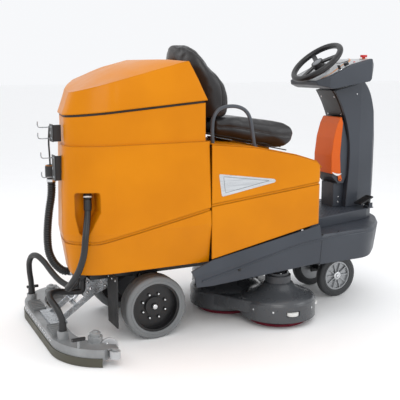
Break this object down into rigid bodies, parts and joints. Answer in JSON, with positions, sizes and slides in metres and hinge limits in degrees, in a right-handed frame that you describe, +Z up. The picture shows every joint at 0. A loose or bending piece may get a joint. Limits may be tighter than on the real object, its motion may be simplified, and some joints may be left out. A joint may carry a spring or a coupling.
{
  "type": "ride-on floor scrubber",
  "caption": "Ride-on floor scrubber with a rear tank, a seat over the battery bay, a steering column, a disc scrub deck and a curved rear squeegee.",
  "frame": {"origin": "floor level under the middle of the machine's overall box", "axes": "+X to the front of the machine, +Y to the driver's left, +Z up"},
  "size_m": [1.988, 1.064, 1.4194],
  "materials": {
    "yellow_moulding": "glossy",
    "door_orange": "glossy",
    "dark_moulding": "satin",
    "frame_paint": "satin",
    "motor_case": "satin",
    "battery_case": "matte",
    "grey_tyre": "matte",
    "dark_tyre": "matte",
    "black_rim": "satin",
    "silver_hub": "satin",
    "deck_paint": "satin",
    "scrub_pad": "matte",
    "roller_white": "satin",
    "squeegee_metal": "satin",
    "blade_rubber": "matte",
    "roller_grey": "satin",
    "galvanised_steel": "satin",
    "bright_rod": "polished",
    "black_plastic": "satin",
    "stop_red": "glossy",
    "seat_leather": "satin",
    "rail_paint": "satin",
    "hose_black": "satin"
  },
  "bodies": {
    "chassis": {"main_frame": "frame_paint", "drive_motors": "motor_case", "battery_pack": "battery_case", "rear_tank": "yellow_moulding", "vacuum_unit": "motor_case", "battery_cover": "yellow_moulding", "side_skirts": "dark_moulding", "front_bumper": "dark_moulding", "foot_plate": "dark_moulding", "column": "dark_moulding", "console": "dark_moulding", "dosing_holder": "dark_moulding", "mud_flaps": "blade_rubber", "lift_bracket": "galvanised_steel", "hook_plates": "frame_paint", "suction_hose": "hose_black", "squeegee_hose_right": "hose_black", "squeegee_hose_left": "hose_black", "drain_hose": "hose_black"},
    "drive_wheel_right": {"drive_tyre_right": "grey_tyre", "drive_rim_right": "black_rim"},
    "drive_wheel_left": {"drive_tyre_left": "grey_tyre", "drive_rim_left": "black_rim"},
    "steering_bogie": {"steering_fork": "frame_paint"},
    "front_wheel_right": {"front_tyre_right": "dark_tyre", "front_hub_right": "silver_hub"},
    "front_wheel_left": {"front_tyre_left": "dark_tyre", "front_hub_left": "silver_hub"},
    "hand_wheel": {"steering_wheel": "black_plastic"},
    "lid": {"tank_lid": "yellow_moulding", "lid_gasket": "blade_rubber"},
    "seat_base": {"seat_deck": "yellow_moulding", "grab_rails": "rail_paint"},
    "seat": {"seat_cushion": "seat_leather", "seat_backrest": "seat_leather", "seat_pan": "frame_paint"},
    "latch": {"seat_latch": "black_plastic"},
    "drive_pedal": {"pedal": "black_plastic"},
    "lower_link": {"deck_link_lower": "frame_paint"},
    "upper_link": {"deck_link_upper": "frame_paint"},
    "scrub_deck": {"deck_housing": "deck_paint", "brush_motors": "motor_case"},
    "brush_centre": {"scrub_disc_centre": "scrub_pad"},
    "brush_right": {"scrub_disc_right": "scrub_pad"},
    "brush_left": {"scrub_disc_left": "scrub_pad"},
    "deck_roller_right": {"bump_roller_right": "roller_white"},
    "deck_roller_left": {"bump_roller_left": "roller_white"},
    "squeegee": {"lift_arm": "galvanised_steel", "squeegee_body": "squeegee_metal", "squeegee_blades": "blade_rubber"},
    "squeegee_wheel_right": {"support_wheel_right": "roller_grey"},
    "squeegee_wheel_left": {"support_wheel_left": "roller_grey"},
    "squeegee_roller_right": {"guard_roller_right": "roller_grey"},
    "squeegee_roller_left": {"guard_roller_left": "roller_grey"},
    "actuator_tube": {"lift_cylinder": "galvanised_steel"},
    "actuator_rod": {"lift_rod": "bright_rod"},
    "dosing_door": {"dosing_cover": "door_orange"},
    "stop_button": {"emergency_stop": "stop_red"},
    "speed_dial": {"speed_knob": "black_plastic"},
    "key": {"key_switch": "black_plastic"}
  },
  "joints": [
    {"name": "drive_wheel_spin_right", "type": "hinge", "parent": "chassis", "child": "drive_wheel_right", "pos_m": [-0.484, -0.247, 0.155], "axis": [0, 1, 0], "continuous": true},
    {"name": "front_wheel_spin_right", "type": "hinge", "parent": "steering_bogie", "child": "front_wheel_right", "pos_m": [0.688, -0.122, 0.122], "axis": [0, 1, 0], "continuous": true},
    {"name": "deck_roller_spin_right", "type": "hinge", "parent": "scrub_deck", "child": "deck_roller_right", "pos_m": [0.35826, -0.35556, 0.081], "axis": [0, 0, 1], "continuous": true},
    {"name": "squeegee_wheel_spin_right", "type": "hinge", "parent": "squeegee", "child": "squeegee_wheel_right", "pos_m": [-0.766, -0.402, 0.047], "axis": [0, 1, 0], "continuous": true},
    {"name": "squeegee_roller_spin_right", "type": "hinge", "parent": "squeegee", "child": "squeegee_roller_right", "pos_m": [-0.772, -0.508, 0.053], "axis": [0, 0, 1], "continuous": true},
    {"name": "brush_spin_right", "type": "hinge", "parent": "scrub_deck", "child": "brush_right", "pos_m": [0.196, -0.29, 0.02], "axis": [0, 0, 1], "continuous": true},
    {"name": "drive_wheel_spin_left", "type": "hinge", "parent": "chassis", "child": "drive_wheel_left", "pos_m": [-0.484, 0.247, 0.155], "axis": [0, 1, 0], "continuous": true},
    {"name": "front_wheel_spin_left", "type": "hinge", "parent": "steering_bogie", "child": "front_wheel_left", "pos_m": [0.688, 0.122, 0.122], "axis": [0, 1, 0], "continuous": true},
    {"name": "deck_roller_spin_left", "type": "hinge", "parent": "scrub_deck", "child": "deck_roller_left", "pos_m": [0.35826, 0.35556, 0.081], "axis": [0, 0, 1], "continuous": true},
    {"name": "squeegee_wheel_spin_left", "type": "hinge", "parent": "squeegee", "child": "squeegee_wheel_left", "pos_m": [-0.766, 0.402, 0.047], "axis": [0, 1, 0], "continuous": true},
    {"name": "squeegee_roller_spin_left", "type": "hinge", "parent": "squeegee", "child": "squeegee_roller_left", "pos_m": [-0.772, 0.508, 0.053], "axis": [0, 0, 1], "continuous": true},
    {"name": "brush_spin_left", "type": "hinge", "parent": "scrub_deck", "child": "brush_left", "pos_m": [0.196, 0.29, 0.02], "axis": [0, 0, 1], "continuous": true},
    {"name": "brush_spin_centre", "type": "hinge", "parent": "scrub_deck", "child": "brush_centre", "pos_m": [0.046, 0, 0.02], "axis": [0, 0, 1], "continuous": true},
    {"name": "steer", "type": "hinge", "parent": "chassis", "child": "steering_bogie", "pos_m": [0.688, 0, 0.3], "axis": [0, 0, 1], "range_deg": [-50, 50]},
    {"name": "hand_wheel_turn", "type": "hinge", "parent": "chassis", "child": "hand_wheel", "pos_m": [0.604, 0, 1.313], "axis": [-0.6281, 0, 0.7781], "range_deg": [-200, 200]},
    {"name": "lid_open", "type": "hinge", "parent": "chassis", "child": "lid", "pos_m": [-0.484, 0.371, 1.1145], "axis": [-0.9964, 0, -0.0847], "range_deg": [0, 75]},
    {"name": "seat_base_tip", "type": "hinge", "parent": "chassis", "child": "seat_base", "pos_m": [0.392, 0, 0.792], "axis": [0, 1, 0], "range_deg": [0, 40]},
    {"name": "seat_adjust", "type": "slide", "parent": "seat_base", "child": "seat", "axis": [0.979, 0, -0.2039], "range_m": [-0.02, 0.08]},
    {"name": "latch_turn", "type": "hinge", "parent": "seat", "child": "latch", "pos_m": [0.21824, -0.06, 0.87969], "axis": [0.204, 0, 0.979], "range_deg": [0, 12], "stiffness_Nm_per_rad": 1, "springref_deg": -5.73},
    {"name": "pedal_press", "type": "hinge", "parent": "chassis", "child": "drive_pedal", "pos_m": [0.88, -0.15, 0.52], "axis": [0, -1, 0], "range_deg": [0, 10], "stiffness_Nm_per_rad": 10, "springref_deg": -5.73},
    {"name": "deck_lift", "type": "hinge", "parent": "chassis", "child": "lower_link", "pos_m": [0.478, 0, 0.232], "axis": [0, 1, 0], "range_deg": [0, 16]},
    {"name": "deck_level", "type": "hinge", "parent": "lower_link", "child": "scrub_deck", "pos_m": [0.306, 0, 0.172], "axis": [0, 1, 0], "range_deg": [-16, 0]},
    {"name": "upper_link_swing", "type": "hinge", "parent": "chassis", "child": "upper_link", "pos_m": [0.478, 0, 0.285], "axis": [0, 1, 0], "range_deg": [0, 16]},
    {"name": "squeegee_lift", "type": "hinge", "parent": "chassis", "child": "squeegee", "pos_m": [-0.649, 0, 0.262], "axis": [0, 1, 0], "range_deg": [0, 14], "deforming": ["squeegee_hose_right", "squeegee_hose_left"]},
    {"name": "actuator_swing", "type": "hinge", "parent": "chassis", "child": "actuator_tube", "pos_m": [-0.699, 0, 0.29], "axis": [0, 1, 0], "range_deg": [0, 15.39]},
    {"name": "actuator_stroke", "type": "slide", "parent": "actuator_tube", "child": "actuator_rod", "axis": [-0.6347, 0, -0.7727], "range_m": [-0.01354, 0]},
    {"name": "dosing_door_open", "type": "hinge", "parent": "chassis", "child": "dosing_door", "pos_m": [0.728, 0, 0.664], "axis": [0, -1, 0], "range_deg": [0, 35]},
    {"name": "stop_press", "type": "slide", "parent": "chassis", "child": "stop_button", "axis": [0, 0, -1], "range_m": [0, 0.005], "stiffness_N_per_m": 900, "springref_m": -0.002},
    {"name": "speed_turn", "type": "hinge", "parent": "chassis", "child": "speed_dial", "pos_m": [0.708, -0.13, 1.29588], "axis": [-0.4, 0, 0.9165], "range_deg": [-135, 135]},
    {"name": "key_turn", "type": "hinge", "parent": "chassis", "child": "key", "pos_m": [0.652, -0.148, 1.27142], "axis": [-0.4, 0, 0.9165], "range_deg": [0, 90]}
  ],
  "couplings": [
    {"joint": "hand_wheel_turn", "follows": "steer", "ratio": 4},
    {"joint": "deck_level", "follows": "deck_lift", "ratio": -1},
    {"joint": "upper_link_swing", "follows": "deck_lift", "ratio": 1},
    {"joint": "actuator_swing", "follows": "squeegee_lift", "ratio": 1.092},
    {"joint": "actuator_stroke", "follows": "squeegee_lift", "m_per_rad": -0.0546}
  ]
}
